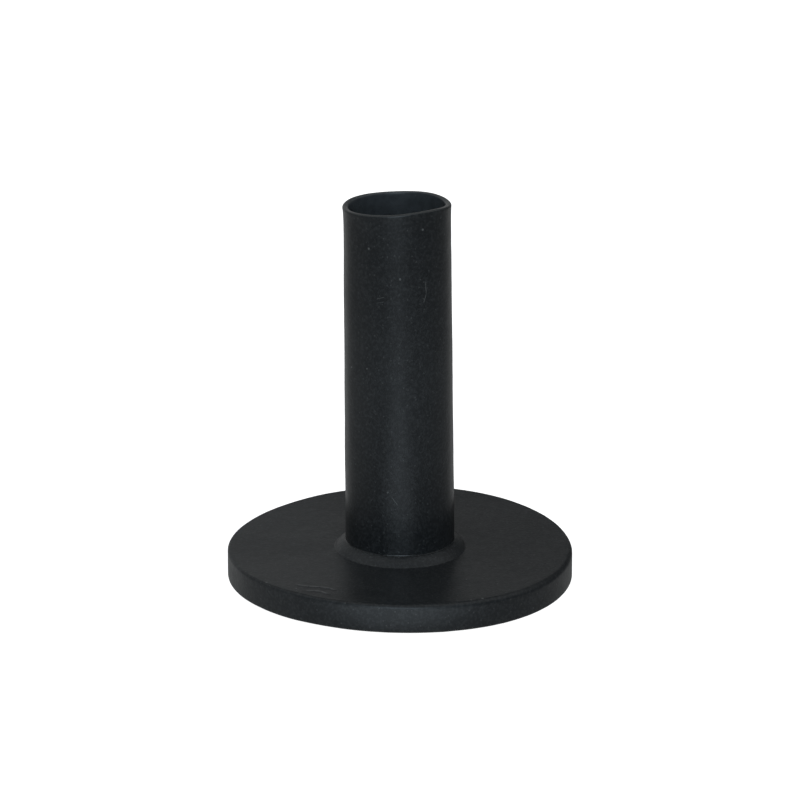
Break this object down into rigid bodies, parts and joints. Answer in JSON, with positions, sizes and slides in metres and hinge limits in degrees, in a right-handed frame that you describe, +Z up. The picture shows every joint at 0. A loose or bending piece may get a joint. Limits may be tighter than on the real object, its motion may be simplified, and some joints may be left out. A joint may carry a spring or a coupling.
{
  "type": "golf range tee",
  "caption": "Black rubber driving-range tee: a flat round base with a low conical collar, and an open, springy, thin-walled tube whose lip holds a golf ball.",
  "frame": {"origin": "middle of the underside, on the tube's axis", "axes": "+Z up along the tube's axis; +X is the way the tube bends over when it is struck"},
  "size_m": [0.0524, 0.0524, 0.058],
  "materials": {
    "base_rubber": "moulded black rubber, dull sheen with faint mottling",
    "tube_rubber": "moulded black rubber, slightly smoother than the base, with fine scuffs and specks"
  },
  "bodies": {
    "base": {"base_flange": "base_rubber"},
    "tube": {"tee_tube": "tube_rubber"}
  },
  "joints": [
    {"name": "tube_flex", "type": "hinge", "parent": "base", "child": "tube", "pos_m": [0, 0, 0.01329], "axis": [0, 1, 0], "range_deg": [-55, 55], "stiffness_Nm_per_rad": 0.32, "deforming": ["tee_tube"]}
  ]
}
